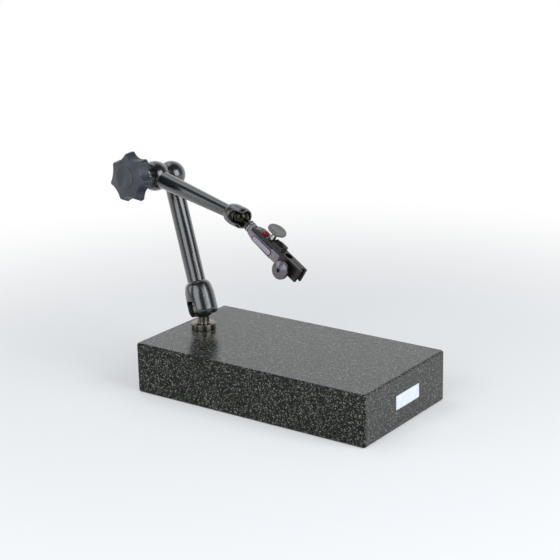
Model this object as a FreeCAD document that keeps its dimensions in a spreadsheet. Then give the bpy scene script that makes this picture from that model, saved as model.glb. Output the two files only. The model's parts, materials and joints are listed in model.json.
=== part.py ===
import FreeCAD, Part
import os
import re

import Sketcher
from FreeCAD import Placement, Rotation, Vector

# Granite indicator stand: a granite block that carries an arm of two tubes. A ball joint at each
# end and an elbow between the tubes are all locked by one star knob, which draws a tapered bolt
# past two push rods. The arm ends in a fine adjustment holder with a split clamp.
# Millimetres, +Z up, origin at the centre of the block's underside.

SIZES = {
    # granite block
    "base_length": 260, "base_width": 140, "base_height": 50,
    "base_corner": 3, "base_chamfer": 1.6,
    "post_from_edge": 28, "insert_radius": 8, "insert_depth": 22, "insert_recess": 0.2,
    "label_length": 40, "label_height": 13.5, "label_thickness": 0.3, "label_corner": 1.2,
    "label_offset": 2.5, "label_level": 25.5,
    # pose in which the stand is shown, in degrees
    "plane_turn": -3.2, "plane_rise": 8.3,
    "lower_turn": -22.5, "upper_turn": 102.6, "head_turn": 119.8,
    # fits
    "running_gap": 0.05, "touch_gap": 0.1,
    # lower ball joint
    "ball_level": 21.3, "flange_radius": 12, "flange_height": 6, "flange_chamfer": 0.6,
    "stud_thread_radius": 5, "stud_thread_length": 17,
    "lower_ball_radius": 10.5, "lower_neck_radius": 6, "lower_mouth_radius": 9.6,
    "lower_lip_drop": 7.2, "lower_lip_radius": 12.4, "lower_lip_start": 1.5, "lower_flare": 1.4,
    "lower_socket_radius": 14.5, "lower_shoulder_start": 10, "lower_shoulder_middle": 21,
    "lower_shoulder_waist": 1.3, "lower_socket_top": 26.2, "lower_rim": 0.6,
    "lower_chamber_top": 12.4, "lower_web_top": 16.5,
    "lower_slot_width": 13.4, "lower_slot_level": 1.5, "lower_slot_turn": -18,
    "lower_slot_break": 1, "lower_cup_start": 4,
    # lower arm
    "lower_length": 135, "lower_tube_radius": 9, "lower_rod_radius": 4, "lower_spigot_radius": 8,
    "tube_seat": 8.5, "rod_space": 1,
    # upper arm
    "upper_length": 114, "upper_tube_radius": 8.4, "upper_tube_end_radius": 6.1,
    "upper_tube_straight": 13, "upper_rod_radius": 2.5, "upper_spigot_radius": 4.6,
    # upper ball joint
    "upper_ball_radius": 7.75, "upper_neck_radius": 3.75, "upper_mouth_radius": 6.9,
    "upper_lip_drop": 5.7, "upper_lip_radius": 9.2, "upper_lip_start": 0.8, "upper_flare": 1.2,
    "upper_socket_radius": 10.4, "upper_shoulder_start": 5.5, "upper_shoulder_middle": 11.3,
    "upper_shoulder_waist": 0.9, "upper_socket_top": 15.8, "upper_rim": 0.5,
    "upper_chamber_top": 9.4, "upper_web_top": 12.5,
    "upper_slot_width": 11, "upper_slot_level": 1.5, "upper_slot_turn": 8,
    "upper_slot_break": 0.9, "upper_cup_start": 3,
    # elbow
    "elbow_offset": 23.7, "rear_head_radius": 14, "rear_face": 11.6, "front_head_radius": 14.7,
    "front_back_face": 11.1, "front_face": 8.5, "cross_bore_radius": 6.05,
    "front_bore_start": 5.8, "cap_radius": 7, "cap_seat": 10.3,
    "cone_big_radius": 5.8, "cone_small_radius": 3.6, "cone_length": 10, "cone_land": 2.8,
    "bolt_radius": 4, "bolt_end": 31, "elbow_washer_radius": 7.6,
    # star knob, levels counted from the middle of the front head
    "knob_washer_radius": 8.8, "knob_washer_thickness": 1.1,
    "knob_nut_radius": 7.5, "knob_nut_end": 33, "knob_boss_start": 20.5, "knob_boss_radius": 10,
    "knob_boss_root": 15.5, "knob_back": 29.6, "knob_front": 39, "knob_crown": 42.8,
    "knob_tip_radius": 24.9, "knob_front_radius": 22.7, "knob_valley_radius": 20.6,
    "scallop_radius": 14, "scallop_taper": 13.6, "knob_lobes": 7, "knob_turn": 8.15,
    "knob_edge": 0.9, "knob_tip_edge": 1.8,
    "knob_cap_radius": 10.8, "knob_cap_floor": 38.6, "knob_cap_rim": 0.4, "knob_cap_dish": 1.9,
    # stem of the holder
    "stem_shoulder": 11.5, "stem_thread_radius": 3, "stem_thread_end": 19.8,
    "nut_across": 9.4, "nut_end": 15, "ring_radius": 5.7, "ring_end": 15.9,
    # holder body, seen from the side: along the stem axis, and above it
    "holder_start": 16, "boss_radius": 5.2, "boss_end": 19.6, "holder_thickness": 11,
    "holder_top": 1, "holder_chin": 6.2, "holder_belly": 7.6, "holder_end": 51.5,
    "holder_bulge": 5.5, "holder_edge": 0.8, "plate_start": 25.2, "plate_length": 26,
    "plate_height": 6.4, "plate_level": -2.9, "plate_thickness": 0.8, "plate_edge": 0.4,
    "fork_root": 48, "fork_end": 60.1, "fork_corner": 3, "fork_bottom": 7.1, "fork_top": 2,
    "fork_thickness": 10, "fork_slot": 5.4,
    "pivot_along": 56.4, "pivot_level": -2.6, "pivot_radius": 1.5, "tongue_radius": 3.1,
    "tongue_thickness": 4.8, "tongue_gap": 0.35,
    # fine adjustment lever
    "lever_start": 20.4, "lever_under": 2.6, "lever_nose": 4.4, "lever_ramp": 26.5,
    "lever_top": 6.3, "hump_start": 46.5, "hump_middle": 50.5, "hump_end": 58,
    "hump_small": 4.9, "hump_large": 5.6, "jaw_start": 60.7, "jaw_bottom": 6.9, "jaw_end": 86.7,
    "lever_thickness": 11.4, "lever_edge": 0.6, "slit_width": 1.2, "stem_bore_along": 65.6,
    "stem_bore_radius": 4, "dovetail_mouth": 4.8, "dovetail_root": 6.8, "dovetail_depth": 2.5,
    # fine adjustment screw, its knob, washer and spring
    "fine_along": 41.7, "fine_radius": 2, "fine_tip": 5.3, "fine_hole_floor": 6,
    "fine_sweep_gap": 0.4, "fine_washer_radius": 3.6, "fine_washer_thickness": 0.8,
    "fine_washer_lift": 0.2, "fine_collar_radius": 3.1, "fine_collar_height": 1.4,
    "fine_shank_radius": 2.6, "thumb_hub_start": 12.6, "thumb_hub_radius": 4.2,
    "thumb_radius": 9.3, "thumb_start": 15, "thumb_thickness": 3.8, "thumb_dish": 0.6,
    "spring_radius": 3, "spring_wire_radius": 0.35, "spring_pocket_radius": 3.8,
    "spring_pocket_floor": 3, "spring_pocket_roof": 4.4, "spring_height": 3.75, "spring_turns": 4,
    "plug_along": 32.8, "plug_radius": 3.3, "plug_seat": 4.6, "plug_rise": 1.2, "plug_dome": 1.4,
    # clamp screw and its disc knob
    "clamp_along": 71.6, "clamp_level": -4.2, "clamp_radius": 1.75, "clamp_tip": 5.2,
    "clamp_washer_radius": 3.2, "clamp_washer_thickness": 0.8, "clamp_neck_radius": 3.1,
    "clamp_neck_length": 1.6, "disc_radius": 8.7, "disc_back": 10, "disc_front": 13,
    "disc_nose": 14.6, "disc_nose_radius": 3, "disc_hole_radius": 1.9, "disc_hole_floor": 11.6,
}

os.makedirs("parts", exist_ok=True)
doc = FreeCAD.newDocument("GraniteIndicatorStand")
sheet = doc.addObject("Spreadsheet::Sheet", "Sizes")
for row, (name, size) in enumerate(SIZES.items(), start=1):
    sheet.set(f"A{row}", name)
    sheet.set(f"B{row}", str(size))
    sheet.setAlias(f"B{row}", name)
doc.recompute()


def value(text):
    """The number that an expression in the sheet's sizes stands for."""
    return float(sheet.evalExpression(text))


def bound(text):
    """The same expression as other objects write it, with each size read from the sheet."""
    return re.sub(r"[a-z_]+", lambda word: f"Sizes.{word[0]}" if word[0] in SIZES else word[0], text)


# Sketches and features

def sketch_on(body, name, role="XZ_Plane", offset=None):
    """An empty sketch on one of the body's own origin planes, or at an offset from it."""
    sketch = body.newObject("Sketcher::SketchObject", name)
    plane = next(item for item in body.Origin.OriginFeatures if item.Role == role)
    sketch.AttachmentSupport = (plane, [""])
    sketch.MapMode = "FlatFace"
    if offset:
        sketch.AttachmentOffset = Placement(Vector(0, 0, value(offset)), Rotation())
        sketch.setExpression("AttachmentOffset.Base.z", bound(offset))
    return sketch


def hold(sketch, geometry, point, coordinates):
    """Ties a point of the sketch to its two coordinates, each an expression."""
    for kind, text, axis in (("DistanceX", coordinates[0], -2), ("DistanceY", coordinates[1], -1)):
        if text is None:
            continue
        if text == "0":
            sketch.addConstraint(Sketcher.Constraint("PointOnObject", geometry, point, axis))
        else:
            index = sketch.addConstraint(
                Sketcher.Constraint(kind, -1, 1, geometry, point, value(text)))
            sketch.setExpression(f"Constraints[{index}]", bound(text))


def arc_between(start, end, known, text):
    """Centre of the arc from start to end, one of whose coordinates is given."""
    middle = (start + end) / 2
    chord = end - start
    if known == "x":
        along = value(text)
        return Vector(along, middle.y - (along - middle.x) * chord.x / chord.y, 0)
    level = value(text)
    return Vector(middle.x - (level - middle.y) * chord.y / chord.x, level, 0)


def loop(sketch, corners, arcs=None):
    """A closed outline through the corners, all of them pairs of expressions.

    arcs gives, for the side that follows a corner, one coordinate of the centre ("x" or "y"), its
    expression, and "ccw" or "cw"; the other sides are straight.
    """
    arcs = arcs or {}
    points = [Vector(value(x), value(y), 0) for x, y in corners]
    first = sketch.GeometryCount
    ends = []
    for side, start in enumerate(points):
        end = points[(side + 1) % len(points)]
        if side not in arcs:
            sketch.addGeometry(Part.LineSegment(start, end), False)
            ends.append((first + side, 1, 2))
            continue
        known, text, sense = arcs[side]
        centre = arc_between(start, end, known, text)
        low, high = (start, end) if sense == "ccw" else (end, start)
        circle = Part.Circle(centre, Vector(0, 0, 1), (start - centre).Length)
        arc = Part.ArcOfCircle(circle, circle.parameter(low), circle.parameter(high))
        sketch.addGeometry(arc, False)
        ends.append((first + side, 1, 2) if sense == "ccw" else (first + side, 2, 1))
        hold(sketch, first + side, 3, (text, None) if known == "x" else (None, text))
    for side, (geometry, start, end) in enumerate(ends):
        following, following_start, _ = ends[(side + 1) % len(ends)]
        sketch.addConstraint(
            Sketcher.Constraint("Coincident", geometry, end, following, following_start))
        hold(sketch, geometry, start, corners[side])


def circle(sketch, radius, along="0", level="0"):
    """A full circle with its centre at a pair of expressions."""
    centre = Vector(value(along), value(level), 0)
    index = sketch.addGeometry(Part.Circle(centre, Vector(0, 0, 1), value(radius)), False)
    if along == level == "0":
        sketch.addConstraint(Sketcher.Constraint("Coincident", index, 3, -1, 1))
    else:
        hold(sketch, index, 3, (along, level))
    size = sketch.addConstraint(Sketcher.Constraint("Radius", index, value(radius)))
    sketch.setExpression(f"Constraints[{size}]", bound(radius))


def new_body(name, place):
    """An empty body at its place in the stand."""
    body = doc.addObject("PartDesign::Body", name)
    body.Label = name
    body.Placement = place
    return body


def revolve(body, sketch, axis="V_Axis", name="Turned"):
    """A full turn of the sketch about one of its own axes."""
    feature = body.newObject("PartDesign::Revolution", name)
    feature.Profile = (sketch, [""])
    feature.ReferenceAxis = (sketch, [axis])
    feature.Angle = 360
    doc.recompute()
    return feature


def turned(name, place, corners, arcs=None):
    """A round piece: a profile of radius and height, turned about the height axis."""
    body = new_body(name, place)
    sketch = sketch_on(body, name + "_profile")
    loop(sketch, corners, arcs)
    revolve(body, sketch, name=name + "_turned")
    return body


def pad(body, sketch, length, both_ways=False, name="Pad"):
    """Thickens the sketch by an expression, to both sides or along its normal."""
    feature = body.newObject("PartDesign::Pad", name)
    feature.Profile = (sketch, [""])
    feature.Type = "Length"
    feature.SideType = "Symmetric" if both_ways else "One side"
    feature.Length = value(length)
    feature.setExpression("Length", bound(length))
    doc.recompute()
    return feature


def pocket(body, sketch, length=None, both_ways=False, reversed_way=False, name="Pocket"):
    """Cuts the sketch out of the body, by an expression or right through; it must cut something."""
    before = body.Shape.Volume
    feature = body.newObject("PartDesign::Pocket", name)
    feature.Profile = (sketch, [""])
    feature.SideType = "Symmetric" if both_ways else "One side"
    feature.Reversed = reversed_way
    if length:
        feature.Type = "Length"
        feature.Length = value(length)
        feature.setExpression("Length", bound(length))
    else:
        feature.Type = "ThroughAll"
    doc.recompute()
    if not body.Shape.Volume < before - 1e-6:
        raise ValueError(f"{name} in {body.Label} cuts nothing")
    return feature


def edges_where(feature, test):
    """Names of the feature's edges whose every point on a short sample passes the test."""
    names = []
    for number, edge in enumerate(feature.Shape.Edges, start=1):
        if all(test(point) for point in edge.discretize(5)):
            names.append(f"Edge{number}")
    return names


def dress(body, kind, feature, edges, size, name):
    """A Chamfer or Fillet of the given edges of the feature."""
    finish = body.newObject(f"PartDesign::{kind}", name)
    finish.Base = (feature, edges)
    prop = "Size" if kind == "Chamfer" else "Radius"
    setattr(finish, prop, value(size))
    finish.setExpression(prop, bound(size))
    doc.recompute()
    if finish.Shape.isNull():
        raise ValueError(f"{name} in {body.Label} failed")
    return finish


# Frames of the arm, in the pose shown

ACROSS = Rotation(Vector(0, 0, 1), Vector(-1, 0, 0), Vector(0, -1, 0), "XYZ")
PLANE = Rotation(Vector(0, 0, 1), value("plane_turn")) * Rotation(Vector(1, 0, 0), -value("plane_rise"))


def lean(turn):
    """Rotation whose Z leans by turn degrees from upright, within the arm's plane."""
    return PLANE * Rotation(Vector(0, 1, 0), turn)


LOWER = lean(value("lower_turn"))
UPPER = lean(value("upper_turn"))
HEAD = lean(value("head_turn"))
UP = Vector(0, 0, 1)

POST_FOOT = Vector(value("post_from_edge - base_length / 2"), 0, value("base_height"))
LOWER_BALL = POST_FOOT + UP * value("ball_level")
REAR_ELBOW = LOWER_BALL + LOWER.multVec(UP) * value("lower_length")
KNOB_AXIS = PLANE.multVec(Vector(0, -1, 0))
FRONT_ELBOW = REAR_ELBOW + KNOB_AXIS * value("elbow_offset")
UPPER_BALL = FRONT_ELBOW + UPPER.multVec(UP) * value("upper_length")

AT_BASE = Placement()
AT_POST = Placement(POST_FOOT, Rotation())
AT_LOWER_ARM = Placement(LOWER_BALL, LOWER)
AT_UPPER_ARM = Placement(FRONT_ELBOW, UPPER)
AT_UPPER_SOCKET = Placement(UPPER_BALL, lean(value("upper_turn + 180")))
AT_REAR_HEAD = Placement(REAR_ELBOW, LOWER * ACROSS)
AT_FRONT_HEAD = Placement(FRONT_ELBOW, UPPER * ACROSS)
AT_REAR_BOLT = Placement(REAR_ELBOW, PLANE * ACROSS)
AT_KNOB = Placement(FRONT_ELBOW, PLANE * ACROSS)
AT_STEM = Placement(UPPER_BALL, HEAD)
AT_HEAD = Placement(UPPER_BALL, HEAD * ACROSS)


def in_head(along, level, rotation=None):
    """Place on the holder's middle plane: so far along the stem axis, so far above it."""
    offset = Vector(value(along), value(level), 0)
    return AT_HEAD * Placement(offset, rotation or Rotation())


SCREW_UPRIGHT = Rotation(Vector(1, 0, 0), -90)


# Granite block and what is set into it

def granite_base():
    """Block with rounded upright corners, chamfered rims and the hole for the insert."""
    body = new_body("granite_base", AT_BASE)
    sketch = sketch_on(body, "granite_plan", "XY_Plane")
    half_length, half_width = "base_length / 2", "base_width / 2"
    loop(sketch, [(f"-{half_length}", f"-{half_width}"), (half_length, f"-{half_width}"),
                  (half_length, half_width), (f"-{half_length}", half_width)])
    block = pad(body, sketch, "base_height", name="granite_block")
    top = value("base_height")
    upright = [f"Edge{number}" for number, edge in enumerate(block.Shape.Edges, start=1)
               if abs(edge.tangentAt(edge.FirstParameter).z) > 0.99]
    block = dress(body, "Fillet", block, upright, "base_corner", "granite_corners")
    rims = edges_where(block, lambda point: min(point.z, top - point.z) < 0.01)
    dress(body, "Chamfer", block, rims, "base_chamfer", "granite_chamfers")
    hole = sketch_on(body, "granite_hole", "XY_Plane", "base_height")
    circle(hole, "insert_radius", "post_from_edge - base_length / 2", "0")
    pocket(body, hole, "insert_depth", name="granite_insert_hole")
    return body


def base_insert():
    """Steel bush glued into the granite; the ball stud screws into it."""
    bore = "stud_thread_radius + running_gap"
    floor = "-stud_thread_length - 1.5"
    return turned("base_insert", AT_POST, [
        ("0", "-insert_depth"), ("insert_radius", "-insert_depth"),
        ("insert_radius", "-insert_recess"), (bore, "-insert_recess"), (bore, floor), ("0", floor)])


def base_label():
    """Blank adhesive label on the end of the block."""
    place = Placement(Vector(value("base_length / 2"), value("label_offset"), value("label_level")),
                      Rotation())
    body = new_body("base_label", place)
    sketch = sketch_on(body, "label_outline", "YZ_Plane")
    half_length, half_height = "label_length / 2", "label_height / 2"
    loop(sketch, [(f"-{half_length}", f"-{half_height}"), (half_length, f"-{half_height}"),
                  (half_length, half_height), (f"-{half_length}", half_height)])
    sheet_of_label = pad(body, sketch, "label_thickness", name="label_sheet")
    corners = [f"Edge{number}" for number, edge in enumerate(sheet_of_label.Shape.Edges, start=1)
               if abs(edge.tangentAt(edge.FirstParameter).x) > 0.99]
    dress(body, "Fillet", sheet_of_label, corners, "label_corner", "label_corners")
    return body


# Ball joints

def lower_ball_stud():
    """Ball, neck, flange and thread, turned from one bar."""
    neck = "lower_neck_radius"
    ball_foot = "ball_level - sqrt(lower_ball_radius ^ 2 - lower_neck_radius ^ 2)"
    chamfer = "flange_radius - flange_chamfer"
    return turned("lower_ball_stud", AT_POST, [
        ("0", "-stud_thread_length"), ("stud_thread_radius", "-stud_thread_length"),
        ("stud_thread_radius", "0"), (chamfer, "0"), ("flange_radius", "flange_chamfer"),
        ("flange_radius", "flange_height - flange_chamfer"), (chamfer, "flange_height"),
        (neck, "flange_height"), (neck, ball_foot), ("0", "ball_level + lower_ball_radius")],
        {8: ("x", "0", "ccw")})


def ball_socket(arm, place):
    """Barrel around a ball, its mouth down; the neck swings out through the slot in its side."""
    seat = f"({arm}_ball_radius + running_gap)"
    mouth = f"{arm}_mouth_radius"
    mouth_level = f"-sqrt({seat} ^ 2 - {mouth} ^ 2)"
    lip, top = f"-{arm}_lip_drop", f"{arm}_socket_top"
    wide = f"{arm}_socket_radius"
    tube_end = {"lower": "lower_tube_radius", "upper": "upper_tube_end_radius"}[arm]
    rod_hole = f"{arm}_rod_radius + running_gap"
    spigot = f"{arm}_spigot_radius"
    turn = Placement(Vector(), Rotation(UP, value(f"{arm}_slot_turn")))
    body = turned(f"{arm}_socket", place * turn, [
        (f"{mouth} + {arm}_flare", lip), (f"{arm}_lip_radius", lip),
        (wide, f"-{arm}_lip_start"), (wide, f"{arm}_shoulder_start"),
        (f"{wide} - {arm}_shoulder_waist", f"{arm}_shoulder_middle"),
        (f"{tube_end} + {arm}_rim", top), (spigot, top),
        (spigot, f"{arm}_web_top"), (rod_hole, f"{arm}_web_top"), (rod_hole, f"{arm}_chamber_top"),
        (seat, f"{arm}_chamber_top"), (seat, "0"), (mouth, mouth_level)],
        {1: ("y", f"-{arm}_lip_start", "ccw"), 3: ("y", f"{arm}_shoulder_start", "ccw"),
         4: ("y", f"{arm}_shoulder_middle - {arm}_lip_start", "ccw"), 11: ("x", "0", "cw")})
    slot = sketch_on(body, f"{arm}_slot_outline")
    half, level, below = f"{arm}_slot_width / 2", f"{arm}_slot_level", f"-{arm}_lip_drop - 1"
    loop(slot, [(half, below), (half, level), (f"-{half}", level), (f"-{half}", below)],
         {1: ("y", level, "ccw")})
    cut = pocket(body, slot, f"{wide} + 1", reversed_way=True, name=f"{arm}_slot")
    break_slot_rim(body, cut, arm)
    return body


def break_slot_rim(body, cut, arm):
    """Chamfers the slot's outer rim, above the lip."""
    wide, half = value(f"{arm}_socket_radius"), value(f"{arm}_slot_width") / 2
    foot, roof = -value(f"{arm}_lip_start"), value(f"{arm}_slot_level") + half

    def on_rim(point):
        outer = abs((point.x ** 2 + point.y ** 2) ** 0.5 - wide) < 0.02
        return outer and point.y < 0 and abs(point.x) < half + 0.01 and foot - 0.01 < point.z < roof + 0.01

    dress(body, "Chamfer", cut, edges_where(cut, on_rim), f"{arm}_slot_break", f"{arm}_slot_rim")


def ball_cup(arm, place):
    """Hardened cup that the push rod presses onto the ball."""
    hollow = f"({arm}_ball_radius + running_gap)"
    start, end = f"{arm}_cup_start", f"{arm}_chamber_top - touch_gap"
    return turned(f"{arm}_ball_cup", place, [
        ("0", hollow), (f"sqrt({hollow} ^ 2 - {start} ^ 2)", start), (f"{arm}_ball_radius", start),
        (f"{arm}_ball_radius", end), ("0", end)], {0: ("x", "0", "cw")})


# Tubes and push rods

def rod_reach(rod):
    """Distance from the knob axis to the centre of a rod's round end, resting on the bolt's cone."""
    slope = "(cone_big_radius - cone_small_radius) / cone_length"
    middle = "(cone_big_radius + cone_small_radius) / 2"
    return f"({middle} + ({rod}_rod_radius + running_gap) * sqrt(1 + ({slope}) ^ 2))"


def push_rod(arm, place, length):
    """Rod from the ball cup to the bolt's cone, where it ends in a half ball."""
    radius = f"{arm}_rod_radius"
    end = f"{length} - {rod_reach(arm)}"
    start = f"{arm}_chamber_top"
    return turned(f"{arm}_push_rod", place, [
        ("0", start), (radius, start), (radius, end), ("0", f"{end} + {radius}")],
        {2: ("x", "0", "ccw")})


def lower_tube():
    """Straight tube, its lower end turned down to fit the socket."""
    bore = "lower_rod_radius + rod_space"
    end = "lower_length - tube_seat"
    return turned("lower_tube", AT_LOWER_ARM, [
        (bore, "lower_web_top"), ("lower_spigot_radius", "lower_web_top"),
        ("lower_spigot_radius", "lower_socket_top"), ("lower_tube_radius", "lower_socket_top"),
        ("lower_tube_radius", end), (bore, end)])


def upper_tube():
    """Tapered tube from the front head to the upper socket."""
    bore = "upper_rod_radius + rod_space / 2"
    end = "upper_length - upper_socket_top"
    tip = "upper_length - upper_web_top"
    return turned("upper_tube", AT_UPPER_ARM, [
        (bore, "tube_seat"), ("upper_tube_radius", "tube_seat"),
        ("upper_tube_radius", "upper_tube_straight"), ("upper_tube_end_radius", end),
        ("upper_spigot_radius", end), ("upper_spigot_radius", tip), (bore, tip)])


# Elbow: two ball shaped heads side by side, the bolt through both, and the knob

def bore_for_arm(body, arm, reversed_way):
    """Seat for the tube and hole for the push rod, from the side of the head to its cross bore."""
    side = "front_head_radius" if reversed_way else "-front_head_radius"
    for name, radius, depth in ((f"{arm}_tube_seat", f"{arm}_tube_radius", "front_head_radius - tube_seat"),
                                (f"{arm}_rod_hole", f"{arm}_rod_radius + running_gap",
                                 "front_head_radius")):
        sketch = sketch_on(body, name + "_circle", "YZ_Plane", side)
        circle(sketch, radius)
        pocket(body, sketch, depth, reversed_way=not reversed_way, name=name)


def rear_head():
    """Head of the lower arm. Its domed far side is closed by a screwed cap."""
    face_radius = "sqrt(rear_head_radius ^ 2 - rear_face ^ 2)"
    cap_edge = "-sqrt(rear_head_radius ^ 2 - cap_radius ^ 2)"
    body = turned("rear_head", AT_REAR_HEAD, [
        ("cross_bore_radius", "rear_face"), (face_radius, "rear_face"), ("cap_radius", cap_edge),
        ("cap_radius", "-cap_seat"), ("cross_bore_radius", "-cap_seat")],
        {1: ("x", "0", "cw")})
    bore_for_arm(body, "lower", False)
    return body


def rear_cap():
    """Domed cap screwed into the far side of the rear head."""
    return turned("rear_cap", AT_REAR_HEAD, [
        ("0", "-cap_seat"), ("0", "-rear_head_radius"),
        ("cap_radius", "-sqrt(rear_head_radius ^ 2 - cap_radius ^ 2)"), ("cap_radius", "-cap_seat")],
        {1: ("x", "0", "ccw")})


def front_head():
    """Head of the upper arm, with a flat front for the knob's washer."""
    back_radius = "sqrt(front_head_radius ^ 2 - front_back_face ^ 2)"
    front_radius = "sqrt(front_head_radius ^ 2 - front_face ^ 2)"
    bolt_hole = "bolt_radius + running_gap"
    body = turned("front_head", AT_FRONT_HEAD, [
        ("cross_bore_radius", "-front_back_face"), (back_radius, "-front_back_face"),
        (front_radius, "front_face"), (bolt_hole, "front_face"), (bolt_hole, "front_bore_start"),
        ("cross_bore_radius", "front_bore_start")], {1: ("x", "0", "ccw")})
    bore_for_arm(body, "upper", True)
    return body


def elbow_washer():
    """Thin washer between the two heads."""
    bore = "cross_bore_radius + touch_gap"
    end = "elbow_offset - front_back_face"
    return turned("elbow_washer", AT_REAR_BOLT, [
        (bore, "rear_face"), ("elbow_washer_radius", "rear_face"), ("elbow_washer_radius", end),
        (bore, end)])


def clamp_bolt():
    """Bolt with a taper in each head; drawn to the front, it pushes both rods outwards."""
    half = "cone_length / 2"
    collar = "elbow_offset - cone_length / 2"
    return turned("clamp_bolt", AT_REAR_BOLT, [
        ("0", f"-{half} - cone_land"), ("cone_big_radius", f"-{half} - cone_land"),
        ("cone_big_radius", f"-{half}"), ("cone_small_radius", half),
        ("cone_small_radius", f"{collar} - cone_land"), ("cone_big_radius", f"{collar} - cone_land / 2"),
        ("cone_big_radius", collar), ("cone_small_radius", f"elbow_offset + {half}"),
        ("bolt_radius", f"elbow_offset + {half}"), ("bolt_radius", "elbow_offset + bolt_end"),
        ("0", "elbow_offset + bolt_end")])


def knob_washer():
    """Washer between the front head and the knob."""
    end = "front_face + knob_washer_thickness"
    bore = "bolt_radius + touch_gap"
    return turned("knob_washer", AT_KNOB, [
        (bore, "front_face"), ("knob_washer_radius", "front_face"), ("knob_washer_radius", end),
        (bore, end)])


def knob_nut():
    """Steel nut moulded into the star knob; its round end bears on the washer."""
    start = "front_face + knob_washer_thickness"
    bore = "bolt_radius + running_gap"
    return turned("knob_nut", AT_KNOB, [
        (bore, start), ("knob_nut_radius", start), ("knob_nut_radius", "knob_nut_end"),
        (bore, "knob_nut_end")])


def star_knob():
    """Seven lobed knob: a tapered disc with a coned face, scallops around it, on a boss."""
    turn = Placement(Vector(), Rotation(UP, value("knob_turn")))
    body = new_body("star_knob", AT_KNOB * turn)
    disc = sketch_on(body, "knob_profile")
    loop(disc, [("0", "knob_back"), ("knob_tip_radius", "knob_back"),
                ("knob_front_radius", "knob_front"), ("knob_cap_radius", "knob_crown"),
                ("0", "knob_crown")])
    revolve(body, disc, name="knob_disc")
    valley = sketch_on(body, "scallop_plan", "XY_Plane", "knob_crown")
    between = "180 / knob_lobes"
    reach = "(knob_valley_radius + scallop_radius)"
    height = "(knob_crown - knob_back)"
    wide = f"(scallop_radius + {height} * tan(scallop_taper))"
    circle(valley, wide, f"{reach} * cos({between})", f"{reach} * sin({between})")
    scallop = pocket(body, valley, height, name="scallop")
    scallop.TaperAngle = -value("scallop_taper")
    scallop.setExpression("TaperAngle", bound("-scallop_taper"))
    ring = body.newObject("PartDesign::PolarPattern", "scallops")
    ring.Originals = [scallop]
    ring.Axis = (valley, ["N_Axis"])
    ring.Angle = 360
    ring.setExpression("Occurrences", bound("knob_lobes"))
    body.Tip = ring
    doc.recompute()
    back, front = value("knob_back"), value("knob_front")
    inside = value("knob_boss_root")

    def at_rim(point):
        """True when the point is on the outer edge of the knob's back."""
        return abs(point.z - back) < 0.01 and Vector(point.x, point.y, 0).Length > inside

    def on_tip(edge):
        """True for an edge that climbs along a lobe from the back to the front."""
        low, high = sorted((edge.Vertexes[0].Point, edge.Vertexes[-1].Point), key=lambda end: end.z)
        return abs(low.z - back) < 0.01 and abs(high.z - front) < 0.01

    upright = [f"Edge{number}" for number, edge in enumerate(ring.Shape.Edges, start=1) if on_tip(edge)]
    tips = dress(body, "Fillet", ring, upright, "knob_tip_edge", "knob_tips")
    rims = edges_where(tips, at_rim)
    dress(body, "Fillet", tips, rims, "knob_edge", "knob_rims")
    boss = sketch_on(body, "boss_profile")
    loop(boss, [("0", "knob_boss_start"), ("knob_boss_radius", "knob_boss_start"),
                ("knob_boss_root", "knob_back"), ("0", "knob_back")])
    revolve(body, boss, name="knob_boss")
    hollow = sketch_on(body, "nut_hole_plan", "XY_Plane", "knob_boss_start")
    circle(hollow, "knob_nut_radius")
    pocket(body, hollow, "knob_nut_end - knob_boss_start", reversed_way=True, name="nut_hole")
    dish = sketch_on(body, "cap_hole_plan", "XY_Plane", "knob_crown")
    circle(dish, "knob_cap_radius")
    pocket(body, dish, "knob_crown - knob_cap_floor", name="cap_hole")
    return body


def knob_cap():
    """Dished cap that closes the front of the knob."""
    rim = "knob_crown + knob_cap_rim"
    return turned("knob_cap", AT_KNOB, [
        ("0", "knob_cap_floor"), ("knob_cap_radius", "knob_cap_floor"), ("knob_cap_radius", rim),
        ("knob_cap_radius - knob_cap_rim", rim), ("0", f"{rim} - knob_cap_dish")],
        {3: ("x", "0", "cw")})


# Holder: stem, body and badge plate

def upper_ball_stud():
    """Ball, neck and thread that carry the holder."""
    neck = "upper_neck_radius"
    ball_end = "sqrt(upper_ball_radius ^ 2 - upper_neck_radius ^ 2)"
    return turned("upper_ball_stud", AT_STEM, [
        ("0", "-upper_ball_radius"), (neck, ball_end), (neck, "stem_shoulder"),
        ("stem_thread_radius", "stem_shoulder"), ("stem_thread_radius", "stem_thread_end"),
        ("0", "stem_thread_end")], {0: ("x", "0", "ccw")})


def stem_nut():
    """Hexagon nut that locks the ball stud in the holder."""
    body = new_body("stem_nut", AT_STEM)
    sketch = sketch_on(body, "nut_outline", "XY_Plane", "stem_shoulder + touch_gap")
    corner = "nut_across / 2 / cos(30)"
    loop(sketch, [(f"{corner} * cos({angle})", f"{corner} * sin({angle})")
                  for angle in range(30, 390, 60)])
    circle(sketch, "stem_thread_radius")
    pad(body, sketch, "nut_end - stem_shoulder - touch_gap", name="nut_prism")
    return body


def stem_ring():
    """Bright ring between the nut and the holder."""
    return turned("stem_ring", AT_STEM, [
        ("stem_thread_radius", "nut_end"), ("ring_radius", "nut_end"), ("ring_radius", "ring_end"),
        ("stem_thread_radius", "ring_end")])


def round_long_edges(body, feature, thickness, size, name):
    """Rounds the outline's edges on both sides of a symmetric plate."""
    face = value(thickness) / 2
    edges = edges_where(feature, lambda point: abs(abs(point.z) - face) < 0.01)
    return dress(body, "Fillet", feature, edges, size, name)


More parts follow.
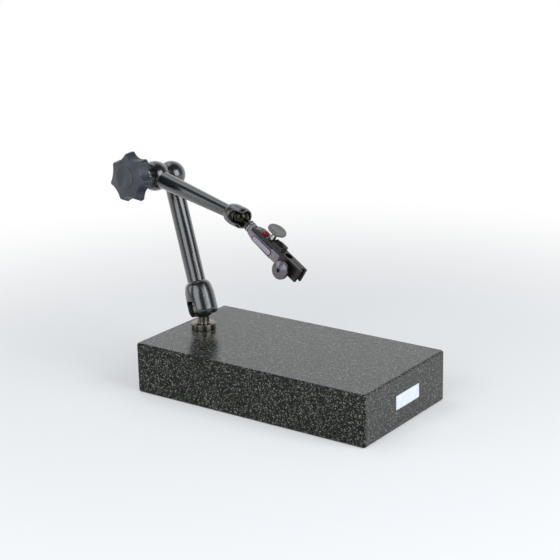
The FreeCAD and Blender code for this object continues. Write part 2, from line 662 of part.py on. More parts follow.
def holder_body():
    """Die cast body: a round boss for the stem, a deep flat belly and a fork for the hinge."""
    body = new_body("holder_body", AT_HEAD)
    side = sketch_on(body, "holder_side", "XY_Plane")
    chin = "boss_end - 1.5"
    loop(side, [(chin, "-boss_radius + 1"), ("plate_start", "-holder_chin"),
                ("holder_end", "-holder_belly"), ("holder_end", "holder_top"), (chin, "holder_top")],
         {2: ("x", "holder_end - holder_bulge", "ccw")})
    flat = pad(body, side, "holder_thickness", both_ways=True, name="holder_flat")
    round_long_edges(body, flat, "holder_thickness", "holder_edge", "holder_edges")
    boss = sketch_on(body, "boss_outline", "XY_Plane")
    loop(boss, [("holder_start", "0"), ("holder_start", "boss_radius - holder_edge"),
                ("holder_start + holder_edge", "boss_radius"), ("boss_end", "boss_radius"),
                ("boss_end", "0")])
    revolve(body, boss, "H_Axis", "holder_boss")
    add_fork(body)
    stem = sketch_on(body, "stem_hole_plan", "YZ_Plane", "holder_start")
    circle(stem, "stem_thread_radius + running_gap")
    pocket(body, stem, "stem_thread_end - holder_start + touch_gap", reversed_way=True, name="stem_hole")
    fine = sketch_on(body, "fine_hole_plan", "XZ_Plane", "-holder_top")
    circle(fine, "fine_radius + running_gap", "fine_along", "0")
    pocket(body, fine, "fine_hole_floor + holder_top", reversed_way=True, name="fine_hole")
    spring = sketch_on(body, "spring_pocket_plan", "XZ_Plane", "-holder_top")
    circle(spring, "spring_pocket_radius", "fine_along", "0")
    pocket(body, spring, "spring_pocket_floor + holder_top", reversed_way=True, name="spring_pocket")
    return body


def add_fork(body):
    """Two cheeks that carry the pivot pin, with a slot for the lever's tongue between them."""
    fork = sketch_on(body, "fork_side", "XY_Plane")
    loop(fork, [("fork_root", "-fork_bottom"), ("fork_end - fork_corner", "-fork_bottom"),
                ("fork_end", "-fork_bottom + fork_corner"), ("fork_end", "fork_top"),
                ("fork_root + fork_corner", "fork_top"), ("fork_root", "holder_top - 0.2")],
         {1: ("x", "fork_end - fork_corner", "ccw")})
    pad(body, fork, "fork_thickness", both_ways=True, name="fork_pad")
    slot = sketch_on(body, "fork_slot_side", "XY_Plane")
    start, end = "pivot_along - tongue_radius - tongue_gap", "fork_end + 1"
    below, above = "-holder_belly - 1", "fork_top + 1"
    loop(slot, [(start, below), (end, below), (end, above), (start, above)])
    pocket(body, slot, "fork_slot", both_ways=True, name="fork_slot_cut")
    pin = sketch_on(body, "pin_hole_plan", "XY_Plane")
    circle(pin, "pivot_radius", "pivot_along", "pivot_level")
    pocket(body, pin, both_ways=True, name="pin_hole")


def holder_plate():
    """Bare raised badge plate with round ends, on the front of the holder body."""
    place = AT_HEAD * Placement(Vector(0, 0, value("holder_thickness / 2")), Rotation())
    body = new_body("holder_plate", place)
    sketch = sketch_on(body, "plate_outline", "XY_Plane")
    half = "plate_height / 2"
    left, right = f"plate_start + {half}", f"plate_start + plate_length - {half}"
    low, high = f"plate_level - {half}", f"plate_level + {half}"
    loop(sketch, [(left, low), (right, low), (right, high), (left, high)],
         {1: ("x", right, "ccw"), 3: ("x", left, "ccw")})
    plate = pad(body, sketch, "plate_thickness", name="plate_pad")
    rim = edges_where(plate, lambda point: abs(point.z - value("plate_thickness")) < 0.01)
    dress(body, "Chamfer", plate, rim, "plate_edge", "plate_rim")
    return body


def pivot_pin():
    """Pin pressed into the fork; the lever's tongue turns on it."""
    half = "fork_thickness / 2"
    return turned("pivot_pin", in_head("pivot_along", "pivot_level"), [
        ("0", f"-{half}"), ("pivot_radius", f"-{half}"), ("pivot_radius", half), ("0", half)])


# Fine adjustment lever with the split clamp at its end

def fine_lever():
    """Lever on top of the holder, with the split clamp at its free end."""
    body = new_body("fine_lever", AT_HEAD)
    side = sketch_on(body, "lever_side", "XY_Plane")
    loop(side, [("lever_start", "lever_under"), ("jaw_start", "lever_under"),
                ("jaw_start", "-jaw_bottom"), ("jaw_end", "-jaw_bottom"), ("jaw_end", "lever_top"),
                ("lever_ramp", "lever_top"), ("lever_start", "lever_nose")])
    plate = pad(body, side, "lever_thickness", both_ways=True, name="lever_plate")
    round_long_edges(body, plate, "lever_thickness", "lever_edge", "lever_edges")
    add_hump(body)
    add_tongue(body)
    cut_clamp(body)
    cut_screw_holes(body)
    return body


def add_hump(body):
    """Half round hump in two steps on top of the lever."""
    for name, start, end, radius in (("hump_low", "hump_start", "hump_middle", "hump_small"),
                                     ("hump_high", "hump_middle", "hump_end", "hump_large")):
        sketch = sketch_on(body, name + "_outline", "YZ_Plane", start)
        spring_line = "lever_top - lever_edge"
        loop(sketch, [(spring_line, f"-{radius}"), (spring_line, radius)],
             {0: ("x", spring_line, "ccw")})
        pad(body, sketch, f"{end} - {start}", name=name)


def add_tongue(body):
    """Tongue that hangs into the fork, with the hole for the pin."""
    tongue = sketch_on(body, "tongue_side", "XY_Plane")
    left, right = "pivot_along - tongue_radius", "pivot_along + tongue_radius"
    root = "lever_under + 0.5"
    loop(tongue, [(left, "pivot_level"), (right, "pivot_level"), (right, root), (left, root)],
         {0: ("y", "pivot_level", "ccw")})
    pad(body, tongue, "tongue_thickness", both_ways=True, name="lever_tongue")
    pin = sketch_on(body, "lever_pin_plan", "XY_Plane")
    circle(pin, "pivot_radius + running_gap", "pivot_along", "pivot_level")
    pocket(body, pin, "tongue_thickness + 1", both_ways=True, name="lever_pin_hole")


def cut_clamp(body):
    """Slit that makes the two jaws, the round bore for a stem and the dovetail at the tip."""
    slit = sketch_on(body, "slit_plan", "XZ_Plane")
    start, half = "stem_bore_along", "slit_width / 2"
    loop(slit, [(start, f"-{half}"), ("jaw_end + 1", f"-{half}"), ("jaw_end + 1", half), (start, half)])
    pocket(body, slit, both_ways=True, name="jaw_slit")
    bore = sketch_on(body, "stem_bore_plan", "XZ_Plane")
    circle(bore, "stem_bore_radius", "stem_bore_along", "0")
    pocket(body, bore, both_ways=True, name="indicator_bore")
    tail = sketch_on(body, "dovetail_plan", "XZ_Plane")
    mouth, root, floor = "dovetail_mouth / 2", "dovetail_root / 2", "jaw_end - dovetail_depth"
    loop(tail, [(floor, f"-{root}"), ("jaw_end", f"-{mouth}"), ("jaw_end + 1", f"-{mouth}"),
                ("jaw_end + 1", mouth), ("jaw_end", mouth), (floor, root)])
    pocket(body, tail, both_ways=True, name="dovetail")
    screw = sketch_on(body, "clamp_hole_plan", "XY_Plane")
    circle(screw, "clamp_radius + running_gap", "clamp_along", "clamp_level")
    pocket(body, screw, both_ways=True, name="clamp_hole")


def cut_screw_holes(body):
    """Clearance for the fine screw, the pocket for its spring and the seat of the plug."""
    fine = sketch_on(body, "lever_fine_plan", "XZ_Plane", "-lever_top")
    circle(fine, "fine_radius + fine_sweep_gap", "fine_along", "0")
    pocket(body, fine, "lever_top", reversed_way=True, name="lever_fine_hole")
    spring = sketch_on(body, "lever_spring_plan", "XZ_Plane", "-holder_top")
    circle(spring, "spring_pocket_radius", "fine_along", "0")
    pocket(body, spring, "spring_pocket_roof - holder_top", name="lever_spring_pocket")
    plug = sketch_on(body, "lever_plug_plan", "XZ_Plane", "-lever_top")
    circle(plug, "plug_radius", "plug_along", "0")
    pocket(body, plug, "lever_top - plug_seat", reversed_way=True, name="lever_plug_seat")


def lever_plug():
    """Red domed plug pressed into the lever."""
    side = "lever_top + plug_rise"
    return turned("lever_plug", in_head("plug_along", "0", SCREW_UPRIGHT), [
        ("0", "plug_seat"), ("plug_radius", "plug_seat"), ("plug_radius", side),
        ("0", f"{side} + plug_dome")], {2: ("x", "0", "ccw")})


# Fine adjustment screw

def fine_washer():
    """Washer under the fine screw's collar."""
    start = "lever_top + fine_washer_lift"
    end = f"{start} + fine_washer_thickness"
    bore = "fine_radius + running_gap"
    return turned("fine_washer", in_head("fine_along", "0", SCREW_UPRIGHT), [
        (bore, start), ("fine_washer_radius", start), ("fine_washer_radius", end), (bore, end)])


def fine_screw():
    """Fine adjustment screw with its collar and the shank of the thumb knob."""
    collar = "lever_top + fine_washer_lift + fine_washer_thickness"
    shank = f"{collar} + fine_collar_height"
    end = "thumb_start + thumb_thickness / 2"
    return turned("fine_screw", in_head("fine_along", "0", SCREW_UPRIGHT), [
        ("0", "-fine_tip"), ("fine_radius - 0.4", "-fine_tip"), ("fine_radius", "-fine_tip + 0.4"),
        ("fine_radius", collar), ("fine_collar_radius", collar), ("fine_collar_radius", shank),
        ("fine_shank_radius", shank), ("fine_shank_radius", end), ("0", end)])


def thumb_knob():
    """Round thumb knob with a full round edge."""
    top = "thumb_start + thumb_thickness"
    edge = "thumb_thickness / 2"
    socket = "thumb_start + thumb_thickness / 2"
    return turned("thumb_knob", in_head("fine_along", "0", SCREW_UPRIGHT), [
        ("fine_shank_radius", "thumb_hub_start"), ("thumb_hub_radius", "thumb_hub_start"),
        ("thumb_hub_radius", "thumb_start"), (f"thumb_radius - {edge}", "thumb_start"),
        (f"thumb_radius - {edge}", top), ("0", f"{top} - thumb_dish"), ("0", socket),
        ("fine_shank_radius", socket)], {3: ("x", f"thumb_radius - {edge}", "ccw")})


def return_spring():
    """Spring around the fine screw, between the pockets of body and lever."""
    body = new_body("return_spring", in_head("fine_along", "0", SCREW_UPRIGHT))
    wire = sketch_on(body, "spring_wire")
    circle(wire, "spring_wire_radius", "spring_radius", "-spring_pocket_floor + spring_wire_radius + 0.05")
    coil = body.newObject("PartDesign::AdditiveHelix", "spring_coil")
    coil.Profile = (wire, [""])
    coil.ReferenceAxis = (wire, ["V_Axis"])
    coil.Mode = "height-turns-growth"
    travel = "spring_pocket_floor + spring_height - spring_wire_radius * 2 - 0.05"
    coil.Height = value(travel)
    coil.setExpression("Height", bound(travel))
    coil.Turns = value("spring_turns")
    coil.setExpression("Turns", bound("spring_turns"))
    coil.Growth = 0
    doc.recompute()
    return body


# Clamp screw

def clamp_washer():
    """Washer under the clamp knob's neck."""
    start = "lever_thickness / 2"
    end = f"{start} + clamp_washer_thickness"
    bore = "clamp_radius + running_gap"
    return turned("clamp_washer", in_head("clamp_along", "clamp_level"), [
        (bore, start), ("clamp_washer_radius", start), ("clamp_washer_radius", end), (bore, end)])


def clamp_screw():
    """Screw that pulls the two jaws together."""
    end = "disc_hole_floor"
    return turned("clamp_screw", in_head("clamp_along", "clamp_level"), [
        ("0", "-clamp_tip"), ("clamp_radius", "-clamp_tip"), ("clamp_radius", end), ("0", end)])


def clamp_disc():
    """Turned disc knob with coned faces and a hole in its nose."""
    start = "lever_thickness / 2 + clamp_washer_thickness"
    neck = f"{start} + clamp_neck_length"
    return turned("clamp_disc", in_head("clamp_along", "clamp_level"), [
        ("clamp_radius", start), ("clamp_neck_radius", start), ("clamp_neck_radius", neck),
        ("disc_radius", "disc_back"), ("disc_radius", "disc_front"),
        ("disc_nose_radius", "disc_nose"), ("disc_hole_radius", "disc_nose"),
        ("disc_hole_radius", "disc_hole_floor"), ("clamp_radius", "disc_hole_floor")])


PIECES = [
    granite_base(), base_insert(), base_label(),
    lower_ball_stud(), ball_cup("lower", AT_LOWER_ARM), ball_socket("lower", AT_LOWER_ARM),
    lower_tube(), push_rod("lower", AT_LOWER_ARM, "lower_length"),
    rear_head(), rear_cap(), elbow_washer(), clamp_bolt(),
    front_head(), upper_tube(), ball_socket("upper", AT_UPPER_SOCKET),
    knob_washer(), knob_nut(), star_knob(), knob_cap(),
    ball_cup("upper", AT_UPPER_SOCKET), push_rod("upper", AT_UPPER_SOCKET, "upper_length"),
    upper_ball_stud(), stem_nut(), stem_ring(),
    holder_body(), holder_plate(), pivot_pin(),
    fine_lever(), lever_plug(), fine_washer(), fine_screw(), thumb_knob(), return_spring(),
    clamp_washer(), clamp_screw(), clamp_disc(),
]

doc.recompute()
for item in doc.Objects:
    if "Invalid" in item.State or "Error" in item.State:
        raise ValueError(f"{item.Label} failed: {item.State}")
for piece in PIECES:
    shape = piece.Shape
    if shape.isNull() or not shape.isValid() or len(shape.Solids) != 1:
        raise ValueError(f"{piece.Label} is not one valid solid")
for piece in PIECES:
    piece.Shape.exportStep(f"parts/{piece.Label}.step")
    print(f"{piece.Label}: {piece.Shape.Volume / 1000:.2f} cm3")
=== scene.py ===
"""Looks of a granite indicator stand: granite block, jointed arm with one locking knob, and a
fine adjustment holder with a split clamp. Lengths in the code are millimetres unless said."""

import json
import math

import bpy
import numpy as np
from bpy.props import FloatProperty, FloatVectorProperty, IntProperty, PointerProperty
from mathutils import Matrix, Vector


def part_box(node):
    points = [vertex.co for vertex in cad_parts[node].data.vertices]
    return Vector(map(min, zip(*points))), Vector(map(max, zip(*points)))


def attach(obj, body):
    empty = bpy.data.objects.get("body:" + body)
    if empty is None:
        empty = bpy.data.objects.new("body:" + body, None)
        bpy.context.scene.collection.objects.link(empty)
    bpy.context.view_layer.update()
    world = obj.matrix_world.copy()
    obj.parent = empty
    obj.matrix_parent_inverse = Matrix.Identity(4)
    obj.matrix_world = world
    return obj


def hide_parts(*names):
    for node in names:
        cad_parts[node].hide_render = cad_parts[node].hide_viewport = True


bl_info = {
    "name": "Granite indicator stand",
    "version": (1, 0, 0),
    "blender": (4, 5, 0),
    "location": "View3D > Sidebar > Stand",
    "description": "Builds the visible pieces and finishes of a granite indicator stand",
    "category": "Object",
}

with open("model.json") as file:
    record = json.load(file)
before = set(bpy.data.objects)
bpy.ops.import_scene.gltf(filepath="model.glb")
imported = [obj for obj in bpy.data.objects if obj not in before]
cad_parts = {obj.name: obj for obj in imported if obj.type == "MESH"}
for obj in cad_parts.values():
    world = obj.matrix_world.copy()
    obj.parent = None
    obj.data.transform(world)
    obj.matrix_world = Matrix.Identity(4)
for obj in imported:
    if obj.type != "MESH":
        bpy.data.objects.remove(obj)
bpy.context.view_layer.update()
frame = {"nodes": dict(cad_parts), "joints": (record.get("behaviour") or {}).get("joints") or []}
MM = 0.001


def linear(code):
    """Linear red, green, blue and alpha of an sRGB hex colour."""
    srgb = np.array([int(code[i:i + 2], 16) for i in (1, 3, 5)]) / 255
    low, high = srgb / 12.92, ((srgb + 0.055) / 1.055) ** 2.4
    return (*np.where(srgb <= 0.04045, low, high).tolist(), 1.0)


def joint_line(name):
    """Point in millimetres and unit direction of a joint at rest; a slide has a direction only."""
    joint = next(item for item in frame["joints"] if item["name"] == name)
    return np.array(joint.get("pos_m", (0, 0, 0))) / MM, np.array(joint["axis"])


LOWER_BALL = joint_line("lower_spin")[0]
FRONT_ELBOW, KNOB_LINE = joint_line("elbow")
UPPER_BALL = joint_line("upper_spin")[0]
STEM_LINE = joint_line("holder_swivel")[1]
RISE_LINE = joint_line("fine_slide")[1]
FINE_POINT = joint_line("fine_turn")[0]
CLAMP_POINT = joint_line("clamp_turn")[0]


# Surfaces

def square_to(line):
    """Two unit directions square to a line and to each other, the first as level as can be."""
    helper = np.array((0.0, 0, 1)) if abs(line[2]) < 0.9 else np.array((1.0, 0, 0))
    first = np.cross(helper, line)
    first /= np.linalg.norm(first)
    return first, np.cross(line, first)


def arc(centre, radius, start, end, steps=24):
    """Points (station, radius) of a circle's arc: centre + radius times (cosine, sine) of the
    angle, in degrees, with 0 along the axis."""
    angle = np.radians(np.linspace(start, end, steps + 1))
    return np.column_stack([centre + radius * np.cos(angle), radius * np.sin(angle)])


def softened(corners, steps=5):
    """Profile whose corners (station, radius, rounding) are replaced by arcs tangent to both
    sides: the arc's centre lies on the corner's bisector, rounding away from each side."""
    points = [np.array(corner[:2], float) for corner in corners]
    out = [points[0]]
    for before, here, after, corner in zip(points, points[1:], points[2:], corners[1:]):
        rounding = corner[2] if len(corner) > 2 else 0
        back, on = before - here, after - here
        reach = min(np.linalg.norm(back), np.linalg.norm(on))
        back, on = back / np.linalg.norm(back), on / np.linalg.norm(on)
        half = math.acos(np.clip(back @ on, -1, 1)) / 2
        if not rounding or half > 1.55:
            out.append(here)
            continue
        tangent = min(rounding / math.tan(half), 0.49 * reach)
        rounding = tangent * math.tan(half)
        bisector = (back + on) / np.linalg.norm(back + on)
        centre = here + bisector * rounding / math.sin(half)
        first, last = here + back * tangent - centre, here + on * tangent - centre
        sweep = math.pi - 2 * half
        share = np.linspace(0, 1, steps + 1)[:, None]
        turned_by = (np.sin((1 - share) * sweep) * first + np.sin(share * sweep) * last)
        out.extend(centre + turned_by / math.sin(sweep))
    out.append(points[-1])
    return np.array(out)


def ring_mesh(name, rings, start, end):
    """Mesh of a grid of points, rings by points around. Neighbouring rings are joined by
    four-sided faces; an end is a pole (its ring is one point), a cap (one flat face), or both
    ends are joined as a loop. The map turning holds the share of a turn and the distance along
    the profile."""
    around = rings.shape[1]
    travel = np.linalg.norm(np.diff(rings, axis=0), axis=2).mean(axis=1)
    level = np.concatenate([[0], np.cumsum(travel)])
    grid = rings
    if start == "pole":
        grid, level_low = grid[1:], level[0]
        level_grid = level[1:]
    else:
        level_grid = level
    if end == "pole":
        grid, level_grid = grid[:-1], level_grid[:-1]
    count = grid.shape[0]
    vertices = grid.reshape(-1, 3)
    pair = np.arange(count if start == "loop" else count - 1)
    row, column = np.meshgrid(pair, np.arange(around), indexing="ij")
    following, beside = (row + 1) % count, (column + 1) % around
    quads = np.stack([row * around + column, row * around + beside,
                      following * around + beside, following * around + column], axis=-1)
    faces = quads.reshape(-1, 4).tolist()
    across = np.stack([column, column + 1, column + 1, column], axis=-1) / around
    along = np.stack([level_grid[row], level_grid[row],
                      level_grid[following], level_grid[following]], axis=-1)
    uv = [np.stack([across, along], axis=-1).reshape(-1, 2)]
    here = np.arange(around)
    nearby = (here + 1) % around
    for kind, ring, pole, tip_level, ring_level in (
            (start, 0, rings[0, 0], level[0], level_grid[0]),
            (end, count - 1, rings[-1, 0], level[-1], level_grid[-1])):
        first = ring * around
        if kind == "pole":
            tip = len(vertices)
            vertices = np.vstack([vertices, pole])
            order = (here, nearby) if ring else (nearby, here)
            fan = np.stack([first + order[0], first + order[1], np.full(around, tip)], axis=-1)
            faces += fan.tolist()
            share = np.stack([order[0], order[1], here + 0.5], axis=-1) / around
            depth = np.full((around, 3), ring_level)
            depth[:, 2] = tip_level
            uv.append(np.stack([share, depth], axis=-1).reshape(-1, 2))
        elif kind == "cap":
            loop = first + (here if ring else here[::-1])
            faces.append(loop.tolist())
            uv.append(np.column_stack([(here if ring else here[::-1]) / around,
                                       np.full(around, ring_level)]))
    mesh = bpy.data.meshes.new(name)
    mesh.from_pydata((vertices * MM).tolist(), [], faces)
    layer = mesh.uv_layers.new(name="turning")
    layer.data.foreach_set("uv", np.vstack(uv).astype(np.float32).ravel())
    ends = vertices[np.array([face[:3] for face in faces])]
    volume = np.einsum("ij,ij->i", ends[:, 0], np.cross(ends[:, 1], ends[:, 2])).sum()
    if volume < 0:
        mesh.flip_normals()
    mesh.shade_smooth()
    mesh.set_sharp_from_angle(angle=math.radians(40))
    return mesh


def put(name, mesh, body, material, slot, nodes=()):
    """Links a mesh as a piece that rides on a body, in place of the CAD nodes it stands for."""
    if not mesh.polygons:
        raise RuntimeError(f"{name} has no faces")
    piece = bpy.data.objects.new(name, mesh)
    bpy.context.scene.collection.objects.link(piece)
    mesh.materials.append(material)
    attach(piece, body)
    if nodes:
        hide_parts(*nodes)
    return piece


def turned(name, foot, line, profile, around=144, start="pole", end="pole"):
    """Surface of revolution: each profile point (station, radius) is carried round the line, at
    foot + station times the line + radius times (cosine, sine) of the angle."""
    first, second = square_to(line)
    angle = np.linspace(0, 2 * math.pi, around, endpoint=False)
    circle = np.outer(np.cos(angle), first) + np.outer(np.sin(angle), second)
    station, radius = profile[:, 0], profile[:, 1]
    rings = foot + station[:, None, None] * line + radius[:, None, None] * circle
    return ring_mesh(name, rings, start, end)


def lathe(name, body, finish, stands_for, foot, line, profile, **ends):
    """Turns a profile and puts it in place; stands_for is its slot, which is not used, and the CAD nodes it
    replaces.
    """
    mesh = turned(name, foot, line, profile, **ends)
    return put(name, mesh, body, FINISHES[finish], *stands_for)


def layered(name, foot, axes, outline, layers, start="cap", end="cap"):
    """Solid between outlines: in each layer (inset, level) the flat outline, a closed row of
    points, is drawn in by inset along its own normals and raised to level."""
    onward = np.roll(outline, -1, axis=0) - np.roll(outline, 1, axis=0)
    onward /= np.linalg.norm(onward, axis=1)[:, None]
    outward = np.column_stack([onward[:, 1], -onward[:, 0]])
    rings = []
    for inset, level in layers:
        flat = outline - inset * outward
        rings.append(foot + flat[:, :1] * axes[0] + flat[:, 1:] * axes[1] + level * axes[2])
    return ring_mesh(name, np.array(rings), start, end)


# Finishes

def add(tree, kind, links=None, **settings):
    """Adds a node: links maps its inputs to sources, settings are its properties or inputs."""
    made = tree.nodes.new(kind)
    for name, setting in settings.items():
        words = name.replace("_", " ").title()
        if words in made.inputs:
            made.inputs[words].default_value = setting
        else:
            setattr(made, name, setting)
    for name, source in (links or {}).items():
        tree.links.new(source, made.inputs[name])
    return made


def ramp(tree, source, stops):
    """Colour ramp from a value; each stop is a place and a linear colour."""
    made = add(tree, "ShaderNodeValToRGB", {"Fac": source})
    elements = made.color_ramp.elements
    while len(elements) < len(stops):
        elements.new(0.5)
    for element, (place, colour) in zip(elements, stops):
        element.position, element.color = place, colour
    return made.outputs["Color"]


def grey(level):
    """Linear grey for masks."""
    return (level, level, level, 1.0)


def blend(tree, factor, first, second, mode="MIX"):
    """Mixes two colours, each a source or a constant, by a factor of the same kinds."""
    made = add(tree, "ShaderNodeMix", data_type="RGBA", blend_type=mode)
    for place, source in ((0, factor), (6, first), (7, second)):
        if isinstance(source, bpy.types.NodeSocket):
            tree.links.new(source, made.inputs[place])
        else:
            made.inputs[place].default_value = source
    return made.outputs[2]


def finish_of(name, **sockets):
    """New material with its main shader; sockets are the shader's own constants."""
    material = bpy.data.materials.new(name)
    material.use_nodes = True
    shader = material.node_tree.nodes["Principled BSDF"]
    for socket, setting in sockets.items():
        words = {"ior": "IOR", "coat_ior": "Coat IOR"}.get(socket, socket.replace("_", " ").title())
        shader.inputs[words].default_value = setting
    return material, material.node_tree, shader


def object_place(tree):
    """Object coordinates, in metres."""
    return add(tree, "ShaderNodeTexCoord").outputs["Object"]


def place_about(tree, foot, line):
    """Object coordinates counted from foot, in millimetres, with their Z along the line."""
    turn = Vector(line).to_track_quat("Z", "Y").to_euler()
    return add(tree, "ShaderNodeMapping", {"Vector": object_place(tree)}, vector_type="TEXTURE",
               location=Vector(foot) * MM, rotation=turn).outputs["Vector"]


def rim_light_and_wear_mask(tree, radius):
    """Mask of the edges: 1 where the normal averaged over a radius leaves the face's normal.
    The finishes use it for a painted highlight along pale rims and painted shade along dark
    rims; on the blackened steel the pale rims are partly wear.
    """
    soft = add(tree, "ShaderNodeBevel", radius=radius * MM, samples=6)
    flat = add(tree, "ShaderNodeNewGeometry")
    match = add(tree, "ShaderNodeVectorMath", operation="DOT_PRODUCT")
    tree.links.new(soft.outputs["Normal"], match.inputs[0])
    tree.links.new(flat.outputs["Normal"], match.inputs[1])
    return ramp(tree, match.outputs["Value"], [(0.88, grey(1.0)), (0.98, grey(0.0))])


def coloured(name, dark, light, size, rough, relief, edge=None, rim_light_and_wear_width=0.5, detail=3.0, place=None,
             **sockets):
    """Material with a mottle of a grain size in millimetres between two close tones, roughness
    that follows it, a relief in millimetres, and edges painted paler as a highlight or darker
    as shade, partly wear on the blackened steel."""
    material, tree, shader = finish_of(name, **sockets)
    where = object_place(tree) if place is None else place_about(tree, *place)
    mottle = add(tree, "ShaderNodeTexNoise", {"Vector": where}, scale=1 / (size * MM), detail=detail)
    colour = ramp(tree, mottle.outputs["Fac"], [(0.32, dark), (0.68, light)])
    if edge is not None:
        colour = blend(tree, rim_light_and_wear_mask(tree, rim_light_and_wear_width), colour, edge)
    tree.links.new(colour, shader.inputs["Base Color"])
    gloss = add(tree, "ShaderNodeMapRange", {"Value": mottle.outputs["Fac"]},
                to_min=rough[0], to_max=rough[1])
    tree.links.new(gloss.outputs["Result"], shader.inputs["Roughness"])
    height = mottle.outputs["Fac"]
    if place is not None:
        # Feed marks of the lathe tool: fine rings about the axis, felt as a brushed sheen.
        marks = add(tree, "ShaderNodeTexWave", {"Vector": where}, wave_type="RINGS", rings_direction="Z",
                    scale=0.5 / (0.35 * MM), distortion=0.6, detail=1.0)
        height = marks.outputs["Fac"]
    bump = add(tree, "ShaderNodeBump", {"Height": height}, strength=1.0, distance=relief * MM)
    tree.links.new(bump.outputs["Normal"], shader.inputs["Normal"])
    return material


def polished_granite(looks):
    """Black granite: grains of about a millimetre, dark pyroxene with paler feldspar and a few
    bright flecks. The top and the ends are lapped, so they mirror the surroundings softly at
    low angles and look pale. The long sides are only ground: dark, matt and speckled."""
    material, tree, shader = finish_of("lapped_black_granite", ior=1.56)
    place = object_place(tree)
    grains = add(tree, "ShaderNodeTexVoronoi", {"Vector": place}, scale=1 / (0.9 * MM), randomness=1.0)
    clouds = add(tree, "ShaderNodeTexNoise", {"Vector": place}, scale=1 / (2.6 * MM), detail=5.0,
                 roughness=0.7)
    pick = add(tree, "ShaderNodeSeparateColor", {"Color": grains.outputs["Color"]})
    body = ramp(tree, pick.outputs["Red"], [
        (0.0, looks.dark), (0.5, looks.middle), (0.8, looks.light), (0.9, looks.fleck), (1.0, looks.fleck)])
    tint = ramp(tree, pick.outputs["Green"], [
        (0.0, linear("#e8ffe6")), (0.5, grey(1.0)), (1.0, linear("#ffe9e0"))])
    veil = ramp(tree, clouds.outputs["Fac"], [(0.38, grey(0.25)), (0.6, grey(1.0))])
    body = blend(tree, 1.0, body, tint, "MULTIPLY")
    body = blend(tree, 1.0, body, veil, "MULTIPLY")
    # Paler edges: a painted highlight along the block's chamfers and arrises.
    body = blend(tree, rim_light_and_wear_mask(tree, 0.7), body, looks.light)
    tree.links.new(body, shader.inputs["Base Color"])
    surface = add(tree, "ShaderNodeNewGeometry")
    facing = add(tree, "ShaderNodeSeparateXYZ", {"Vector": surface.outputs["Normal"]})
    across = add(tree, "ShaderNodeMath", operation="ABSOLUTE")
    tree.links.new(facing.outputs["Y"], across.inputs[0])
    ground = ramp(tree, across.outputs["Value"], [(0.1, grey(0.0)), (0.6, grey(1.0))])
    gloss = ramp(tree, clouds.outputs["Fac"], [(0.3, grey(0.2)), (0.7, grey(0.28))])
    tree.links.new(blend(tree, ground, gloss, grey(0.5)), shader.inputs["Roughness"])
    tree.links.new(blend(tree, ground, grey(0.5), grey(0.15)), shader.inputs["Specular IOR Level"])
    pits = add(tree, "ShaderNodeBump", {"Height": clouds.outputs["Fac"]}, strength=1.0, distance=0.012 * MM)
    tree.links.new(pits.outputs["Normal"], shader.inputs["Normal"])
    return material


